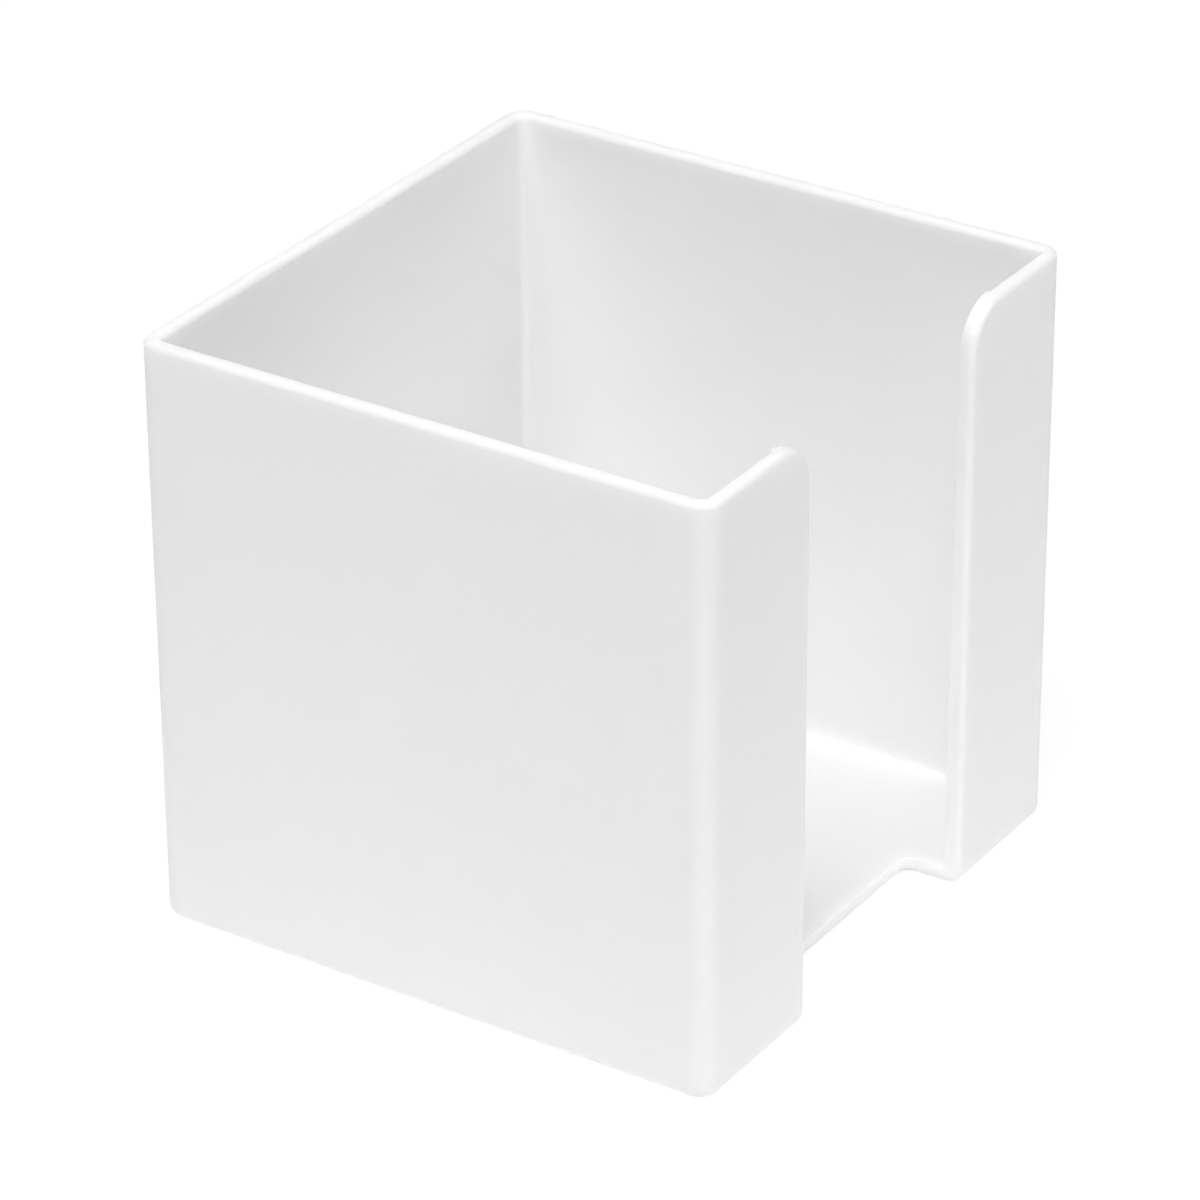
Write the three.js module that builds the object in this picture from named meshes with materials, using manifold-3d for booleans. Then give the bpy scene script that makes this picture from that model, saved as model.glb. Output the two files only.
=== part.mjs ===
// Memo box for loose square notes: a deep open-topped box moulded in one piece, on four stick-on pads.
// Millimetres, +Z up. The origin is on the table under the middle of the box, and the gap faces -Y.

import * as THREE from 'three';
import { mergeVertices } from 'three/addons/utils/BufferGeometryUtils.js';
import Module from 'manifold-3d';

const wasm = await Module();
wasm.setup();

// The box outside
const boxWidth = 100;
const boxDepth = 98.4;
const boxHeight = 97.8;          // underside to rim
const cornerRadius = 3.4;        // upright corners, outside
const bottomRound = 2.4;         // edge between the walls and the underside
const rimRound = 1;              // both edges of the rim, and the outer edge of the gap and the notch

// Walls and floor
const wallAtRim = 2.5;
const wallLean = 0.3;            // how much thicker each wall is at the floor, so that the core draws out
const floorThickness = 2.5;
const cavityCornerRadius = 1;
const floorFillet = 0.8;         // between the floor and the walls, inside

// Finger gap in the front wall, and the notch that it cuts into the floor
const gapWidth = 45.6;
const gapCornerRadius = 7.6;     // top corners of the two front strips
const notchDepth = 9.6;          // from the front face back to the floor's edge
const notchCornerRadius = 2;

// Non-slip pads, stuck into shallow seats under the corners
const padDiameter = 9;
const padThickness = 1;
const padSeatDepth = 0.6;
const padSeatClearance = 0.3;    // all round the pad
const padEdgeRound = 0.2;        // the pad's lower edge
const padInset = 12;             // pad centre to the outside of each wall

// Where the plastic entered the mould: a dimple under the floor with the broken-off stub in it
const gateDimpleDiameter = 7;
const gateDimpleDepth = 0.4;
const gateStubDiameter = 1.8;
const gateStubLength = 0.25;

// Shared by every shape
const leastRadius = 0.15;        // no moulded edge is sharper
const cutOverrun = 3;            // cuts run this far past what they cut
const cornerSteps = 8;
const roundSteps = 5;
const gapCornerSteps = 14;
const discSteps = 40;

// Levels and faces that the pieces share
const padProud = padThickness - padSeatDepth;
const undersideZ = padProud;
const floorZ = undersideZ + floorThickness;
const rimZ = undersideZ + boxHeight;
const frontY = -boxDepth / 2;
const wallAtFloor = wallAtRim + wallLean;

const styrene = { color: 0xf1f0ef, roughness: 0.32, metalness: 0 };
const elastomer = { color: 0xdcdcda, roughness: 0.75, metalness: 0 };

// Quarter-round profiles: [distance along one side, distance along the other], from 0,radius to radius,0
function quarterRound(radius, steps) {
  return Array.from({ length: steps + 1 }, (_, step) => {
    const turn = (Math.PI / 2) * (step / steps);
    return [radius * Math.sin(turn), radius * Math.cos(turn)];
  });
}

// Arc in a plane, from one angle to another in degrees
function arc(centreX, centreY, radius, fromDegrees, toDegrees, steps) {
  return Array.from({ length: steps + 1 }, (_, step) => {
    const angle = THREE.MathUtils.degToRad(fromDegrees + (toDegrees - fromDegrees) * (step / steps));
    return new THREE.Vector2(centreX + radius * Math.cos(angle), centreY + radius * Math.sin(angle));
  });
}

// Plan of the box, drawn in from its outside by an inset, counter-clockwise
function boxOutline(inset, radius) {
  const r = Math.max(radius, leastRadius);
  const x = boxWidth / 2 - inset - r;
  const y = boxDepth / 2 - inset - r;
  return [
    ...arc(x, y, r, 0, 90, cornerSteps),
    ...arc(-x, y, r, 90, 180, cornerSteps),
    ...arc(-x, -y, r, 180, 270, cornerSteps),
    ...arc(x, -y, r, 270, 360, cornerSteps),
  ];
}

// Closed solid through a stack of outlines that have the same number of points
function loft(outlines, placed) {
  const count = outlines[0].length;
  const last = (outlines.length - 1) * count;
  const positions = outlines.flatMap((outline, level) => outline.flatMap((point) => placed(point, level)));
  const index = [];
  for (let ring = 0; ring < last; ring += count) {
    for (let i = 0; i < count; i += 1) {
      const next = (i + 1) % count;
      index.push(ring + i, ring + next, ring + count + next);
      index.push(ring + i, ring + count + next, ring + count + i);
    }
  }
  for (const [a, b, c] of THREE.ShapeUtils.triangulateShape(outlines[0], [])) {
    index.push(a, c, b);
  }
  for (const [a, b, c] of THREE.ShapeUtils.triangulateShape(outlines.at(-1), [])) {
    index.push(last + a, last + b, last + c);
  }
  const geometry = new THREE.BufferGeometry();
  geometry.setAttribute('position', new THREE.Float32BufferAttribute(positions, 3));
  geometry.setIndex(index);
  return geometry;
}

// Upright stack: each section is an inset of the box's plan at a height
function loftUp(sections) {
  const outlines = sections.map(({ inset, radius }) => boxOutline(inset, radius));
  return solid(loft(outlines, (point, level) => [point.x, point.y, sections[level].z]));
}

// Upright round pin between two heights
function pin(diameter, fromZ, toZ) {
  const geometry = new THREE.CylinderGeometry(diameter / 2, diameter / 2, toZ - fromZ, discSteps);
  geometry.rotateX(Math.PI / 2);
  geometry.translate(0, 0, (fromZ + toZ) / 2);
  return solid(geometry);
}

function solid(geometry) {
  const bare = geometry.clone();
  bare.deleteAttribute('normal');
  bare.deleteAttribute('uv');
  const merged = mergeVertices(bare);
  return new wasm.Manifold(new wasm.Mesh({
    numProp: 3,
    vertProperties: new Float32Array(merged.attributes.position.array),
    triVerts: new Uint32Array(merged.index.array),
  }));
}

function named(name, body, finish) {
  const { vertProperties, triVerts } = body.getMesh();
  const geometry = new THREE.BufferGeometry();
  geometry.setAttribute('position', new THREE.BufferAttribute(vertProperties, 3));
  geometry.setIndex(new THREE.BufferAttribute(triVerts, 1));
  const mesh = new THREE.Mesh(geometry, new THREE.MeshStandardMaterial({ ...finish, flatShading: true }));
  mesh.name = name;
  return mesh;
}

// Outside of the box: straight walls, a rounded foot and the rim's outer edge
function outerBlock() {
  const foot = quarterRound(bottomRound, roundSteps).map(([along, up]) => ({
    inset: bottomRound - along,
    radius: cornerRadius - (bottomRound - along),
    z: undersideZ + bottomRound - up,
  }));
  const rim = quarterRound(rimRound, roundSteps).map(([up, along]) => ({
    inset: rimRound - along,
    radius: cornerRadius - (rimRound - along),
    z: rimZ - rimRound + up,
  }));
  return loftUp([...foot, ...rim]);
}

// Room for the notes: it narrows a little towards a filleted floor and opens over the rim's inner edge
function cavity() {
  const floor = quarterRound(floorFillet, roundSteps).map(([along, up]) => ({
    inset: wallAtFloor + floorFillet - along,
    radius: cavityCornerRadius - (floorFillet - along),
    z: floorZ + floorFillet - up,
  }));
  const rim = quarterRound(rimRound, roundSteps).map(([up, along]) => ({
    inset: wallAtRim - rimRound + along,
    radius: cavityCornerRadius + rimRound - along,
    z: rimZ - rimRound + up,
  }));
  return loftUp([...floor, ...rim, { ...rim.at(-1), z: rimZ + cutOverrun }]);
}

// The gap seen from the front, as (x, z), grown by how far the edge is rounded there
function gapOutline(growth) {
  const edgeX = gapWidth / 2 + growth;
  const centreX = gapWidth / 2 + gapCornerRadius;
  const centreZ = rimZ - gapCornerRadius;
  const radius = Math.max(gapCornerRadius - growth, leastRadius);
  return [
    new THREE.Vector2(-edgeX, undersideZ - cutOverrun),
    new THREE.Vector2(edgeX, undersideZ - cutOverrun),
    ...arc(centreX, centreZ, radius, 180, 90, gapCornerSteps),
    new THREE.Vector2(centreX, rimZ + cutOverrun),
    new THREE.Vector2(-centreX, rimZ + cutOverrun),
    ...arc(-centreX, centreZ, radius, 90, 0, gapCornerSteps),
  ];
}

// Cut through the front wall: square at the inner face, and opening over a round at the outer face
function gapCut() {
  const face = quarterRound(rimRound, roundSteps).map(([out, along]) => ({
    y: frontY + rimRound - out,
    growth: rimRound - along,
  }));
  const levels = [
    { y: frontY + wallAtFloor + floorFillet, growth: 0 },
    ...face,
    { y: frontY - cutOverrun, growth: rimRound },
  ];
  const outlines = levels.map(({ growth }) => gapOutline(growth));
  return solid(loft(outlines, (point, level) => [point.x, levels[level].y, point.y]));
}

// The notch seen from above, as (x, y), grown by how far the edge is rounded there
function notchOutline(growth) {
  const r = Math.min(notchCornerRadius, notchDepth / 2);
  const centreX = gapWidth / 2 - r;
  const centreY = frontY + notchDepth - r;
  const edgeX = gapWidth / 2 + growth;
  return [
    new THREE.Vector2(-edgeX, frontY - cutOverrun),
    new THREE.Vector2(edgeX, frontY - cutOverrun),
    ...arc(centreX, centreY, r + growth, 0, 90, cornerSteps),
    ...arc(-centreX, centreY, r + growth, 90, 180, cornerSteps),
  ];
}

// Notch in the floor behind the gap, as wide as the gap: square above, and opening over a round at the underside
function notchCut() {
  const underside = quarterRound(rimRound, roundSteps).map(([down, along]) => ({
    z: undersideZ + rimRound - down,
    growth: rimRound - along,
  })).reverse();
  const levels = [
    { z: undersideZ - cutOverrun, growth: rimRound },
    ...underside,
    { z: floorZ + floorFillet, growth: 0 },
  ];
  const outlines = levels.map(({ growth }) => notchOutline(growth));
  return solid(loft(outlines, (point, level) => [point.x, point.y, levels[level].z]));
}

// The same edge where it runs round the rounded foot, from the front face to the underside
function footCut() {
  const x = gapWidth / 2;
  const flare = quarterRound(rimRound, roundSteps).map(([out, along]) => (
    [bottomRound - rimRound + out, x + rimRound - along]));
  const end = [bottomRound + cutOverrun, x + rimRound];
  const half = [[0, x], ...flare, end].map(([out, across]) => new THREE.Vector2(out, across));
  const profile = [...half.map(({ x: out, y: across }) => new THREE.Vector2(out, -across)), ...half.reverse()];
  const geometry = new THREE.LatheGeometry(profile, discSteps);
  geometry.rotateZ(-Math.PI / 2);
  const reach = bottomRound + cutOverrun;
  const quarter = new THREE.BoxGeometry(2 * boxWidth, reach, reach);
  quarter.translate(0, -reach / 2, -reach / 2);
  const turned = solid(geometry).intersect(solid(quarter));
  return turned.translate([0, frontY + bottomRound, undersideZ + bottomRound]);
}

const padPlaces = [
  { name: 'foot_pad_front_left', x: -1, y: -1 },
  { name: 'foot_pad_front_right', x: 1, y: -1 },
  { name: 'foot_pad_back_left', x: -1, y: 1 },
  { name: 'foot_pad_back_right', x: 1, y: 1 },
].map(({ name, x, y }) => ({
  name,
  place: [x * (boxWidth / 2 - padInset), y * (boxDepth / 2 - padInset), 0],
}));

function boxShell() {
  const seat = pin(padDiameter + 2 * padSeatClearance, undersideZ - cutOverrun, undersideZ + padSeatDepth);
  const dimple = pin(gateDimpleDiameter, undersideZ - cutOverrun, undersideZ + gateDimpleDepth);
  const dimpleTop = undersideZ + gateDimpleDepth;
  const stub = pin(gateStubDiameter, dimpleTop - gateStubLength, dimpleTop + floorThickness / 4);
  let shell = outerBlock().subtract(cavity()).subtract(gapCut()).subtract(footCut()).subtract(notchCut());
  for (const { place } of padPlaces) {
    shell = shell.subtract(seat.translate(place));
  }
  return shell.subtract(dimple).add(stub);
}

// Die-cut elastomer disc, with its lower edge a little rounded by wear
function footPad([x, y]) {
  const edge = quarterRound(padEdgeRound, roundSteps).map(([out, up]) => (
    new THREE.Vector2(padDiameter / 2 - padEdgeRound + out, padEdgeRound - up)));
  const profile = [new THREE.Vector2(0, 0), ...edge, new THREE.Vector2(padDiameter / 2, padThickness)];
  const geometry = new THREE.LatheGeometry([...profile, new THREE.Vector2(0, padThickness)], discSteps);
  geometry.rotateX(Math.PI / 2);
  return solid(geometry).translate([x, y, 0]);
}

const memoBox = new THREE.Group();
memoBox.name = 'memo_box';
memoBox.add(named('box_shell', boxShell(), styrene));
for (const { name, place } of padPlaces) {
  memoBox.add(named(name, footPad(place), elastomer));
}

export default memoBox;
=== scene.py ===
"""White moulded memo box on a pale table: its finish, fine rounds and light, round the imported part."""

import math

import bmesh
import bpy
from mathutils import Matrix, Vector


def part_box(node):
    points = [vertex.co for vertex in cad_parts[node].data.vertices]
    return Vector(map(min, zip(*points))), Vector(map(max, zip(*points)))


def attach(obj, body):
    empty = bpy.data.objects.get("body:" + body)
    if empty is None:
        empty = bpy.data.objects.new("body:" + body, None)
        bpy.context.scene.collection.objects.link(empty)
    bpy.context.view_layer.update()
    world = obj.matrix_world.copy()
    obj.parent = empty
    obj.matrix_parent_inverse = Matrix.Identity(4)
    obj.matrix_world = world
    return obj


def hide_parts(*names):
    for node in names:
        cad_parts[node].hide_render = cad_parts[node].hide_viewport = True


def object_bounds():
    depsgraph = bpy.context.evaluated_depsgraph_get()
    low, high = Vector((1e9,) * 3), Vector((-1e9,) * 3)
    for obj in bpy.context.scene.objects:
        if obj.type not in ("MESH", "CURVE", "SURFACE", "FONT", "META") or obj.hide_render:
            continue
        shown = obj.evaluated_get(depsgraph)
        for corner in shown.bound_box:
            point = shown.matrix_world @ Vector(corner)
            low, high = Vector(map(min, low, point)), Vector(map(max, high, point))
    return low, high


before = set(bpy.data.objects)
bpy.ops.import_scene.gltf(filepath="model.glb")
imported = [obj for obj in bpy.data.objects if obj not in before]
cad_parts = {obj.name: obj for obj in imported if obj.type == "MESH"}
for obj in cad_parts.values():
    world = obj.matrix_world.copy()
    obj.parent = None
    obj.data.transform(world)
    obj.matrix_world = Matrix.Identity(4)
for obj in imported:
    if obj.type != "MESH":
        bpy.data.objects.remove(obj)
CAD_LOW, CAD_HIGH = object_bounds()
SHELL_LOW, SHELL_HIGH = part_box("box_shell")

MM = 0.001

# Sizes of the moulding, as in the part
WALL = 2.5 * MM
WALL_LEAN = 0.3 * MM
FLOOR = 2.5 * MM
CORNER_RADIUS = 3.4 * MM
BOTTOM_ROUND = 2.4 * MM
CAVITY_CORNER_RADIUS = 1 * MM
RIM_ROUND = 1 * MM
GAP_HALF = 22.8 * MM
GAP_CORNER_RADIUS = 7.6 * MM
NOTCH_DEPTH = 9.6 * MM
NOTCH_CORNER_RADIUS = 2 * MM
PAD_SEAT_CLEARANCE = 0.3 * MM
PAD_EDGE_ROUND = 0.2 * MM
GATE_DIMPLE_RADIUS = 3.5 * MM
GATE_DIMPLE_DEPTH = 0.4 * MM
GATE_STUB_RADIUS = 0.9 * MM
GATE_STUB_LENGTH = 0.25 * MM

# Finer than the part, whose fillet round the floor is larger and whose inner edges are sharp
FLOOR_FILLET = 0.4 * MM
KNIFE_ROUND = 0.16 * MM

# How far past its arc a strip keeps its knife round inside, up to the line left by an insert of the mould
WITNESS_OFFSET = 0.35 * MM

# How many steps each round stretch has
CORNER_STEPS = 18
BOTTOM_STEPS = 10
CAVITY_CORNER_STEPS = 8
FLOOR_FILLET_STEPS = 6
RIM_STEPS = 6
GAP_CORNER_STEPS = 24
NOTCH_CORNER_STEPS = 8
PAD_EDGE_STEPS = 5
DISC_STEPS = 96

# Places closer than the plane slack count as one, and a vertex within the cut slack of a cut lies on it.
# Faces that turn by more than the sharp angle meet in a sharp edge, and edges that turn by less than the
# straight angle run on in one line. Both angles are in radians
PLANE_SLACK = 0.01 * MM
CUT_SLACK = PLANE_SLACK / 10
SHARP_ANGLE = 1.0
STRAIGHT_ANGLE = 0.001

# Places on the box, from the frame
HALF_X = (SHELL_HIGH.x - SHELL_LOW.x) / 2
FRONT_Y = SHELL_LOW.y
BACK_Y = SHELL_HIGH.y
UNDERSIDE_Z = SHELL_LOW.z
RIM_Z = SHELL_HIGH.z
FLOOR_Z = UNDERSIDE_Z + FLOOR
NOTCH_Y = FRONT_Y + NOTCH_DEPTH
ARC_END = GAP_HALF + GAP_CORNER_RADIUS
PADS = sorted(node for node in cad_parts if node.startswith("foot_pad"))
BOX_MIDDLE = (CAD_LOW + CAD_HIGH) / 2

# What cuts the underside starts below the table, and the gate's stub is rooted in the floor
CUTTER_Z = -UNDERSIDE_Z
GATE_STUB_ROOT = WALL / 4

# The finishes: the skin's grain, which is under 0.1 mm on a real box and drawn coarser so that it shows, the
# slow change of gloss where the plastic flowed, how far light spreads inside, and the pebbles of the discs
GRAIN_SIZE = 0.35 * MM
GRAIN_DEPTH = 0.02 * MM
FLOW_SIZE = 45 * MM
SOAK_DEPTH = 2.8 * MM
PEBBLE_SIZE = 0.5 * MM
PEBBLE_DEPTH = 0.05 * MM

# Camera, from a fit to the straight edges of the box in the photograph. Angles are in degrees and lengths in
# metres, but for the sensor in millimetres. It aims right of the middle of the box and above it, or left and
# below where the number is negative
FRAME_PIXELS = 1200
SENSOR_WIDTH = 36
FOCAL_PIXELS = 5782
CAMERA_AZIMUTH = -56.92
CAMERA_ELEVATION = 28.42
CAMERA_DISTANCE = 873.3 * MM
CAMERA_ROLL = -0.325
AIM_RIGHT = -1.25 * MM
AIM_UP = -2.04 * MM
CLIP_NEAR = 0.01
CLIP_FAR = 50.0

# The table, in metres, is one thing to the box and another to the eye. To the box it is a mid grey that
# shines, less with distance up to the light's radius, and not at all within the dark part of the box's
# footprint. To the eye it is a glow near white, to which the lamps add what the shadow grey gives back
TABLE_HALF = 8.0
TABLE_GLOW = 0.84
TABLE_SHADOW_GREY = "#898989"
TABLE_GREY = "#aaaaaa"
TABLE_LIGHT = 0.72
TABLE_LIGHT_RADIUS = 0.85
FOOTPRINT_DARK = HALF_X - 14 * MM
FOOTPRINT_LIT = HALF_X + 2 * MM
NOTCH_LIGHT_BLUR = NOTCH_DEPTH / 4

# Softboxes, all of one size and at one distance, in metres. Each has its azimuth and elevation in degrees,
# as the camera has, and its power in watts
LAMP_SIZE = 0.8
LAMP_DISTANCE = 1.2
LAMPS = (
    ("high key on the left", -80, 60, 10.9),
    ("low fill in front", 0, 15, 3.3),
    ("high fill in front", 0, 65, 1.5),
    ("high fill on the right", 90, 65, 2.6),
    ("low fill behind", 180, 30, 2.0),
)


def linear(hex_colour):
    """sRGB hex to the linear RGBA that a shader socket takes."""
    parts = [int(hex_colour[i:i + 2], 16) / 255 for i in (1, 3, 5)]
    return (*(p / 12.92 if p <= 0.04045 else ((p + 0.055) / 1.055) ** 2.4 for p in parts), 1.0)


def add(tree, kind, links=None, **settings):
    """Adds a node: settings name its properties or, with an underscore for a space, its input sockets."""
    node = tree.nodes.new(kind)
    for name, value in settings.items():
        if hasattr(node, name):
            setattr(node, name, value)
        else:
            node.inputs[name.replace("_", " ")].default_value = value
    for socket, source in (links or {}).items():
        tree.links.new(source, node.inputs[socket])
    return node


def empty_material(name):
    """A material with nothing in it yet, and its node tree."""
    material = bpy.data.materials.new(name)
    material.use_nodes = True
    material.node_tree.nodes.clear()
    return material, material.node_tree


def moulded_polystyrene():
    """Injection-moulded white polystyrene: an even milky white whose skin took a satin from the mould, so
    that reflections are soft and slightly uneven. Light spreads a little way inside, which makes the rims
    glow softly."""
    material, tree = empty_material("moulded white polystyrene")
    place = add(tree, "ShaderNodeTexCoord").outputs["Object"]
    grain = add(tree, "ShaderNodeTexNoise", {"Vector": place},
                Scale=1 / GRAIN_SIZE, Detail=3.0, Roughness=0.55)
    flow = add(tree, "ShaderNodeTexNoise", {"Vector": place},
               Scale=1 / FLOW_SIZE, Detail=2.0, Roughness=0.4)
    satin = add(tree, "ShaderNodeMapRange", {"Value": flow.outputs["Fac"]}, To_Min=0.33, To_Max=0.41)
    skin = add(tree, "ShaderNodeBump", {"Height": grain.outputs["Fac"]}, Strength=0.05, Distance=GRAIN_DEPTH)
    colour = add(tree, "ShaderNodeMix", {"Factor": flow.outputs["Fac"]}, data_type="RGBA")
    colour.inputs["A"].default_value = linear("#f9f9f9")
    colour.inputs["B"].default_value = linear("#f8f8f8")
    shader = add(
        tree, "ShaderNodeBsdfPrincipled",
        {"Base Color": colour.outputs["Result"], "Roughness": satin.outputs["Result"],
         "Normal": skin.outputs["Normal"]},
        IOR=1.59, subsurface_method="BURLEY", Subsurface_Weight=1.0, Subsurface_Radius=(1, 1, 1),
        Subsurface_Scale=SOAK_DEPTH,
    )
    add(tree, "ShaderNodeOutputMaterial", {"Surface": shader.outputs["BSDF"]})
    return material


def pad_elastomer():
    """Die-cut elastomer disc: matt, milky grey-white, with a pebbled face that dulls every highlight."""
    material, tree = empty_material("pad elastomer")
    place = add(tree, "ShaderNodeTexCoord").outputs["Object"]
    pebble = add(tree, "ShaderNodeTexVoronoi", {"Vector": place}, Scale=1 / PEBBLE_SIZE)
    face = add(tree, "ShaderNodeBump", {"Height": pebble.outputs["Distance"]},
               Strength=0.3, Distance=PEBBLE_DEPTH)
    shader = add(
        tree, "ShaderNodeBsdfPrincipled", {"Normal": face.outputs["Normal"]},
        Base_Color=linear("#dddcd9"), Roughness=0.72, IOR=1.42,
    )
    add(tree, "ShaderNodeOutputMaterial", {"Surface": shader.outputs["BSDF"]})
    return material


def made(name, bm):
    """Turns a bmesh into an object at the origin, smooth-shaded, with outward faces."""
    bmesh.ops.recalc_face_normals(bm, faces=bm.faces)
    mesh = bpy.data.meshes.new(name)
    bm.to_mesh(mesh)
    bm.free()
    mesh.shade_smooth()
    piece = bpy.data.objects.new(name, mesh)
    bpy.context.scene.collection.objects.link(piece)
    return piece


def keep_flats_flat(piece):
    """Shades the large faces flat, right up to the rounds beside them."""
    shading = piece.modifiers.new("flat faces stay flat", "WEIGHTED_NORMAL")
    shading.keep_sharp = True


def near(value, level):
    """Whether two measures are the same, within the slack."""
    return abs(value - level) < PLANE_SLACK


def middle(edge):
    """The point halfway along an edge."""
    return (edge.verts[0].co + edge.verts[1].co) / 2


def round_off(bm, geom, radius, steps, affect="EDGES"):
    """Rounds edges, or the corners of an open sheet."""
    bmesh.ops.bevel(bm, geom=geom, offset=radius, segments=steps, profile=0.5, affect=affect, material=-1)


def cut(bm, faces, point, normal):
    """Splits some of the faces along a plane. Each edge and corner goes in once, in a fixed order."""
    edges = dict.fromkeys(e for f in faces for e in f.edges)
    verts = dict.fromkeys(v for f in faces for v in f.verts)
    geom = [*faces, *edges, *verts]
    bmesh.ops.bisect_plane(bm, geom=geom, plane_co=point, plane_no=normal, dist=CUT_SLACK)


def ahead_of_notch(bm):
    """The faces in front of the notch's back edge."""
    return [f for f in bm.faces if f.calc_center_median().y < NOTCH_Y]


def take_out_gap(bm):
    """Cuts the floor across its whole width at the notch and the front part down both sides of the gap, and
    takes out what lies between."""
    floor = [f for f in bm.faces if all(near(v.co.z, UNDERSIDE_Z) for v in f.verts)]
    cut(bm, floor, (0, NOTCH_Y, 0), (0, 1, 0))
    for side in (-1, 1):
        not_sideways = [f for f in ahead_of_notch(bm) if round(f.normal.x) == 0]
        cut(bm, not_sideways, (side * GAP_HALF, 0, 0), (1, 0, 0))
    gap = [f for f in ahead_of_notch(bm) if max(abs(v.co.x) for v in f.verts) < GAP_HALF + PLANE_SLACK]
    bmesh.ops.delete(bm, geom=gap, context="FACES")


def clear_leftovers(bm):
    """Joins the floor again beside the notch and clears the vertices that no corner needs."""
    seams = [e for e in bm.edges if len(e.link_faces) == 2 and all(near(v.co.y, NOTCH_Y) for v in e.verts)]
    bmesh.ops.dissolve_edges(bm, edges=seams, use_verts=False)
    loose = [v for v in bm.verts if not v.link_faces]
    bmesh.ops.delete(bm, geom=loose, context="VERTS")
    in_line = [v for v in bm.verts if len(v.link_edges) == 2 and v.calc_edge_angle(math.pi) < STRAIGHT_ANGLE]
    bmesh.ops.dissolve_verts(bm, verts=in_line)


def split_at_witness(bm):
    """Sets a vertex in the rim at the line that the mould's insert left, just past each strip's arc."""
    for vert in list(bm.verts):
        if near(abs(vert.co.x), ARC_END) and near(vert.co.z, RIM_Z) and near(vert.co.y, FRONT_Y):
            edge = max(vert.link_edges, key=lambda e: e.calc_length())
            bmesh.utils.edge_split(edge, vert, WITNESS_OFFSET / edge.calc_length())


def open_skin():
    """The outside of the box as one open sheet: no lid, and the gap and the notch out with round corners."""
    bm = bmesh.new()
    bmesh.ops.create_cube(bm, size=1)
    bmesh.ops.scale(bm, vec=SHELL_HIGH - SHELL_LOW, verts=bm.verts)
    bmesh.ops.translate(bm, vec=(SHELL_HIGH + SHELL_LOW) / 2, verts=bm.verts)
    lid = [f for f in bm.faces if all(near(v.co.z, RIM_Z) for v in f.verts)]
    bmesh.ops.delete(bm, geom=lid, context="FACES")
    take_out_gap(bm)
    clear_leftovers(bm)
    for radius, steps, y, z in (
        (GAP_CORNER_RADIUS, GAP_CORNER_STEPS, FRONT_Y, RIM_Z),
        (NOTCH_CORNER_RADIUS, NOTCH_CORNER_STEPS, NOTCH_Y, UNDERSIDE_Z),
    ):
        corners = [v for v in bm.verts
                   if near(abs(v.co.x), GAP_HALF) and near(v.co.y, y) and near(v.co.z, z)]
        round_off(bm, corners, radius, steps, affect="VERTICES")
    split_at_witness(bm)
    return bm


def lean_in(vert):
    """Puts a vertex of the inside where the core of the mould has it: on the floor, or on a leaning wall."""
    if near(vert.co.z, UNDERSIDE_Z + WALL):
        vert.co.z = FLOOR_Z
    lean = WALL_LEAN * (RIM_Z - vert.co.z) / (RIM_Z - UNDERSIDE_Z)
    for axis, half in ((0, HALF_X), (1, BACK_Y)):
        if near(abs(vert.co[axis]), half - WALL):
            vert.co[axis] -= math.copysign(lean, vert.co[axis])


def seams_across(bm, skin):
    """Seams in the flat ends of the wall: at the corners of the rim and at the foot of the gap's sides."""
    seams = []
    for edge in bm.edges:
        if (edge.verts[0] in skin) == (edge.verts[1] in skin):
            continue
        outer = edge.verts[0] if edge.verts[0] in skin else edge.verts[1]
        at_corner = near(abs(outer.co.x), HALF_X) and near(abs(outer.co.y), BACK_Y)
        at_foot = near(outer.co.y, FRONT_Y) and near(outer.co.z, UNDERSIDE_Z)
        if at_corner or at_foot:
            seams.append(edge)
    return seams


def give_wall(bm):
    """Thickens the skin inwards, leans the inside in towards the floor and clears seams in flat faces."""
    bmesh.ops.recalc_face_normals(bm, faces=bm.faces)
    skin = set(bm.verts)
    bmesh.ops.solidify(bm, geom=bm.faces, thickness=WALL)
    for vert in bm.verts:
        if vert not in skin:
            lean_in(vert)
    bm.normal_update()
    bmesh.ops.dissolve_edges(bm, edges=seams_across(bm, skin), use_verts=False)


def outside(point):
    """Whether a point lies on the outer side of the wall or of the floor."""
    return (abs(point.x) > HALF_X - WALL + PLANE_SLACK or abs(point.y) > BACK_Y - WALL + PLANE_SLACK
            or point.z < FLOOR_Z - PLANE_SLACK)


def inside_rim(point):
    """Whether a point lies on the rim's inner edge, which ends at the strips' witness lines."""
    at_arc = point.y < FRONT_Y + WALL + PLANE_SLACK and abs(point.x) < ARC_END + WITNESS_OFFSET
    return near(point.z, RIM_Z) and not at_arc


def at_notch(point):
    """Whether a point at the foot lies on the notch's outline."""
    return abs(point.x) < GAP_HALF + PLANE_SLACK and point.y < 0


def upright_edges(bm, outer):
    """The four corner edges of the outside or of the cavity."""
    tall = [e for e in bm.edges if abs(e.verts[0].co.z - e.verts[1].co.z) > RIM_Z / 2]
    return [e for e in tall if abs(middle(e).x) > ARC_END and outside(middle(e)) == outer]


def level_edges(bm, z, convex):
    """The sharp edges at one height: convex ones round the foot, or concave ones round the floor."""
    at_height = [e for e in bm.edges if all(near(v.co.z, z) for v in e.verts)]
    sharp = [e for e in at_height if e.calc_face_angle() > SHARP_ANGLE and e.is_convex == convex]
    return [e for e in sharp if not (convex and at_notch(middle(e)))]


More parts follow.
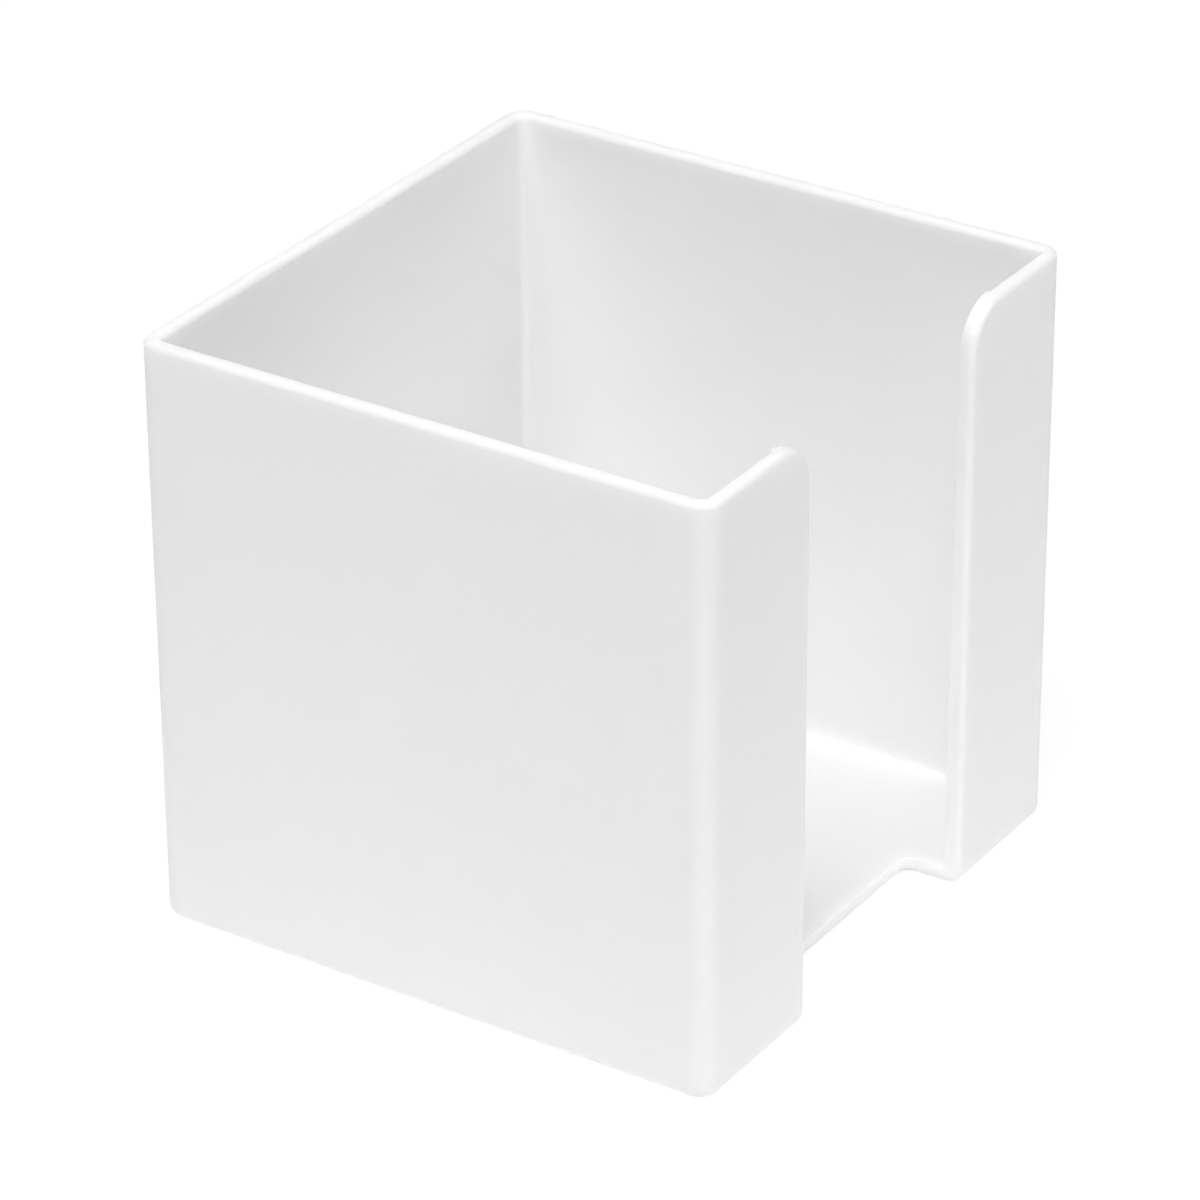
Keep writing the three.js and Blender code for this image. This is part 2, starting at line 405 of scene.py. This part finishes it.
def round_big_edges(bm):
    """The rounds that meet at the corners, upright ones first."""
    for edges, radius, steps in (
        (lambda: upright_edges(bm, outer=True), CORNER_RADIUS, CORNER_STEPS),
        (lambda: level_edges(bm, UNDERSIDE_Z, convex=True), BOTTOM_ROUND, BOTTOM_STEPS),
        (lambda: upright_edges(bm, outer=False), CAVITY_CORNER_RADIUS, CAVITY_CORNER_STEPS),
        (lambda: level_edges(bm, FLOOR_Z, convex=False), FLOOR_FILLET, FLOOR_FILLET_STEPS),
    ):
        round_off(bm, edges(), radius, steps)
        bm.normal_update()


def mark_rounds(bm):
    """Says how round each free edge is: full on the outside and inside the rim, a knife round elsewhere."""
    weight = bm.edges.layers.float.new("bevel_weight_edge")
    for edge in bm.edges:
        if edge.calc_face_angle() < SHARP_ANGLE or not edge.is_convex:
            continue
        full = outside(middle(edge)) or inside_rim(middle(edge))
        edge[weight] = 1.0 if full else KNIFE_ROUND / RIM_ROUND


def cylinder_between(name, x, y, radius, low, high):
    """Plain upright cylinder, used to cut or add on the underside."""
    bm = bmesh.new()
    bmesh.ops.create_cone(
        bm, cap_ends=True, segments=DISC_STEPS, radius1=radius, radius2=radius, depth=high - low,
    )
    bmesh.ops.translate(bm, vec=(x, y, (low + high) / 2), verts=bm.verts)
    return made(name, bm)


def work_in(piece):
    """Works a piece's modifiers into its mesh."""
    graph = bpy.context.evaluated_depsgraph_get()
    rough = piece.data
    mesh = bpy.data.meshes.new_from_object(piece.evaluated_get(graph), depsgraph=graph)
    piece.modifiers.clear()
    piece.data = mesh
    bpy.data.meshes.remove(rough)


def join_or_cut(piece, tool, operation):
    """Joins a tool's solid to the piece or cuts it out, and uses the tool up."""
    step = piece.modifiers.new(tool.name, "BOOLEAN")
    step.object = tool
    step.operation = operation
    step.solver = "EXACT"
    work_in(piece)
    bpy.data.objects.remove(tool)


def round_free_edges(piece):
    """Rounds every edge by the share of the rim's round that it is marked with."""
    rounds = piece.modifiers.new("rounds", "BEVEL")
    rounds.limit_method = "WEIGHT"
    rounds.width = RIM_ROUND
    rounds.segments = RIM_STEPS
    rounds.use_clamp_overlap = False
    rounds.loop_slide = False
    work_in(piece)


def sink_seats(piece):
    """Sinks a seat for each pad into the underside."""
    for node in PADS:
        low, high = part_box(node)
        centre = (low + high) / 2
        seat_radius = (high.x - low.x) / 2 + PAD_SEAT_CLEARANCE
        seat = cylinder_between("seat", centre.x, centre.y, seat_radius, CUTTER_Z, high.z)
        join_or_cut(piece, seat, "DIFFERENCE")


def sink_gate(piece):
    """Sinks the gate's dimple into the underside and leaves the stub of the plastic's inlet in it."""
    top = UNDERSIDE_Z + GATE_DIMPLE_DEPTH
    join_or_cut(piece, cylinder_between("dimple", 0, 0, GATE_DIMPLE_RADIUS, CUTTER_Z, top), "DIFFERENCE")
    stub = cylinder_between("stub", 0, 0, GATE_STUB_RADIUS, top - GATE_STUB_LENGTH, top + GATE_STUB_ROOT)
    join_or_cut(piece, stub, "UNION")


def moulded_box():
    """The moulding: the skin with its wall and rounds, and the seats and gate sunk into the underside."""
    bm = open_skin()
    give_wall(bm)
    round_big_edges(bm)
    mark_rounds(bm)
    piece = made("moulded_box", bm)
    round_free_edges(piece)
    sink_seats(piece)
    sink_gate(piece)
    keep_flats_flat(piece)
    return piece


def foot_pad(node):
    """Non-slip disc: its profile spun round, with a worn lower edge and a cut upper edge."""
    low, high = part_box(node)
    radius = (high.x - low.x) / 2
    bm = bmesh.new()
    outline = [(0, low.z), (radius - PAD_EDGE_ROUND, low.z)]
    for step in range(1, PAD_EDGE_STEPS + 1):
        turn = math.pi / 2 * step / PAD_EDGE_STEPS
        across = radius - PAD_EDGE_ROUND + PAD_EDGE_ROUND * math.sin(turn)
        outline.append((across, low.z + PAD_EDGE_ROUND * (1 - math.cos(turn))))
    outline += [(radius, high.z), (0, high.z)]
    verts = [bm.verts.new((across, 0, height)) for across, height in outline]
    edges = [bm.edges.new(pair) for pair in zip(verts, verts[1:])]
    bmesh.ops.spin(
        bm, geom=verts + edges, cent=(0, 0, 0), axis=(0, 0, 1), angle=math.tau,
        steps=DISC_STEPS, use_merge=True,
    )
    bmesh.ops.remove_doubles(bm, verts=bm.verts, dist=PLANE_SLACK)
    bmesh.ops.translate(bm, vec=((low.x + high.x) / 2, (low.y + high.y) / 2, 0), verts=bm.verts)
    piece = made(node.replace("foot_pad", "non_slip_disc"), bm)
    keep_flats_flat(piece)
    return piece


def seen_directly(tree):
    """1 for the eye and for what it sees in gloss or through glass, 0 for the light that reaches the box."""
    rays = add(tree, "ShaderNodeLightPath").outputs
    mirrored = add(tree, "ShaderNodeMath", {0: rays["Is Camera Ray"], 1: rays["Is Glossy Ray"]},
                   operation="MAXIMUM")
    direct = add(tree, "ShaderNodeMath", {0: mirrored.outputs["Value"], 1: rays["Is Transmission Ray"]},
                 operation="MAXIMUM")
    return direct.outputs["Value"]


def uncovered_table(tree, place):
    """0 under the box, and 1 where the table is free, which is all round the box and in its notch."""
    signed = add(tree, "ShaderNodeSeparateXYZ", {"Vector": place}).outputs
    either_way = add(tree, "ShaderNodeVectorMath", {0: place}, operation="ABSOLUTE")
    across = add(tree, "ShaderNodeSeparateXYZ", {"Vector": either_way.outputs["Vector"]}).outputs
    reach = add(tree, "ShaderNodeMath", {0: across["X"], 1: across["Y"]}, operation="MAXIMUM")
    around = add(tree, "ShaderNodeMapRange", {"Value": reach.outputs["Value"]},
                 From_Min=FOOTPRINT_DARK, From_Max=FOOTPRINT_LIT)
    in_front = add(tree, "ShaderNodeMapRange", {"Value": signed["Y"]},
                   From_Min=NOTCH_Y + NOTCH_LIGHT_BLUR, From_Max=NOTCH_Y - NOTCH_LIGHT_BLUR)
    in_gap = add(tree, "ShaderNodeMapRange", {"Value": across["X"]},
                 From_Min=GAP_HALF + NOTCH_LIGHT_BLUR, From_Max=GAP_HALF - NOTCH_LIGHT_BLUR)
    notch = add(tree, "ShaderNodeMath", {0: in_front.outputs["Result"], 1: in_gap.outputs["Result"]},
                operation="MULTIPLY")
    free = add(tree, "ShaderNodeMath", {0: around.outputs["Result"], 1: notch.outputs["Value"]},
               operation="MAXIMUM")
    return free.outputs["Value"]


def table_top():
    """Wide light table: it shines on the box from all round and through the notch, but not from under its
    floor. To the eye it is nearly all white, with a faint shadow at the box's foot."""
    bm = bmesh.new()
    bmesh.ops.create_grid(bm, x_segments=1, y_segments=1, size=TABLE_HALF)
    piece = made("table", bm)
    material, tree = empty_material("white table")
    matt = add(tree, "ShaderNodeBsdfDiffuse", Color=linear(TABLE_GREY))
    faint = add(tree, "ShaderNodeBsdfDiffuse", Color=linear(TABLE_SHADOW_GREY))
    glow = add(tree, "ShaderNodeEmission", Strength=TABLE_GLOW)
    white = add(tree, "ShaderNodeAddShader", {0: faint.outputs["BSDF"], 1: glow.outputs["Emission"]})
    place = add(tree, "ShaderNodeTexCoord").outputs["Object"]
    away = add(tree, "ShaderNodeVectorMath", {0: place}, operation="LENGTH")
    panel = add(tree, "ShaderNodeMapRange", {"Value": away.outputs["Value"]},
                interpolation_type="SMOOTHSTEP",
                From_Max=TABLE_LIGHT_RADIUS, To_Min=TABLE_LIGHT, To_Max=0.0)
    strength = add(tree, "ShaderNodeMath", {0: panel.outputs["Result"], 1: uncovered_table(tree, place)},
                   operation="MULTIPLY")
    light = add(tree, "ShaderNodeEmission", {"Strength": strength.outputs["Value"]})
    lit = add(tree, "ShaderNodeAddShader", {0: matt.outputs["BSDF"], 1: light.outputs["Emission"]})
    surface = add(tree, "ShaderNodeMixShader",
                  {"Fac": seen_directly(tree), 1: lit.outputs["Shader"], 2: white.outputs["Shader"]})
    add(tree, "ShaderNodeOutputMaterial", {"Surface": surface.outputs["Shader"]})
    piece.data.materials.append(material)


def direction(azimuth, elevation):
    """Unit vector from the box towards a place round it: azimuth 0 is straight in front, 90 on the right."""
    turn, rise = math.radians(azimuth), math.radians(elevation)
    return Vector((math.sin(turn) * math.cos(rise), -math.cos(turn) * math.cos(rise), math.sin(rise)))


def aimed(place, target, roll=0.0):
    """Matrix that stands at a place, looks at a target and keeps level but for a roll."""
    back = (place - target).normalized()
    right = Vector((0, 0, 1)).cross(back).normalized()
    upright = Matrix((right, back.cross(right), back)).transposed()
    return Matrix.Translation(place) @ (upright @ Matrix.Rotation(roll, 3, "Z")).to_4x4()


def softbox(name, azimuth, elevation, power):
    """Square diffused lamp aimed at the box."""
    lamp = bpy.data.lights.new(name, "AREA")
    lamp.shape = "SQUARE"
    lamp.size = LAMP_SIZE
    lamp.energy = power
    stand = bpy.data.objects.new(name, lamp)
    stand.visible_camera = False
    stand.matrix_world = aimed(direction(azimuth, elevation) * LAMP_DISTANCE + BOX_MIDDLE, BOX_MIDDLE)
    bpy.context.scene.collection.objects.link(stand)


def studio():
    """Large diffused lamps round the box in a dark room, whose walls the eye sees as pure white."""
    world = bpy.data.worlds.new("pale studio")
    world.use_nodes = True
    tree = world.node_tree
    tree.nodes.clear()
    backdrop = add(tree, "ShaderNodeBackground", {"Strength": seen_directly(tree)}, Color=linear("#ffffff"))
    add(tree, "ShaderNodeOutputWorld", {"Surface": backdrop.outputs["Background"]})
    bpy.context.scene.world = world
    for name, azimuth, elevation, power in LAMPS:
        softbox(name, azimuth, elevation, power)


def photographer():
    """Camera at the photograph's place: a long lens above the box's front left corner."""
    lens = bpy.data.cameras.new("camera")
    lens.sensor_width = SENSOR_WIDTH
    lens.lens = FOCAL_PIXELS * SENSOR_WIDTH / FRAME_PIXELS
    lens.clip_start = CLIP_NEAR
    lens.clip_end = CLIP_FAR
    camera = bpy.data.objects.new("camera", lens)
    place = BOX_MIDDLE + direction(CAMERA_AZIMUTH, CAMERA_ELEVATION) * CAMERA_DISTANCE
    roll = math.radians(CAMERA_ROLL)
    view = aimed(place, BOX_MIDDLE, roll)
    target = BOX_MIDDLE + view.to_3x3() @ Vector((AIM_RIGHT, AIM_UP, 0))
    camera.matrix_world = aimed(place, target, roll)
    bpy.context.scene.collection.objects.link(camera)
    bpy.context.scene.camera = camera


bpy.context.scene.view_settings.view_transform = "Standard"
photographer()
studio()
table_top()

plastic = moulded_polystyrene()
box = moulded_box()
box.data.materials.append(plastic)
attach(box, "root")
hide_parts("box_shell")

elastomer = pad_elastomer()
for node in PADS:
    disc = foot_pad(node)
    disc.data.materials.append(elastomer)
    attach(disc, "root")
    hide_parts(node)
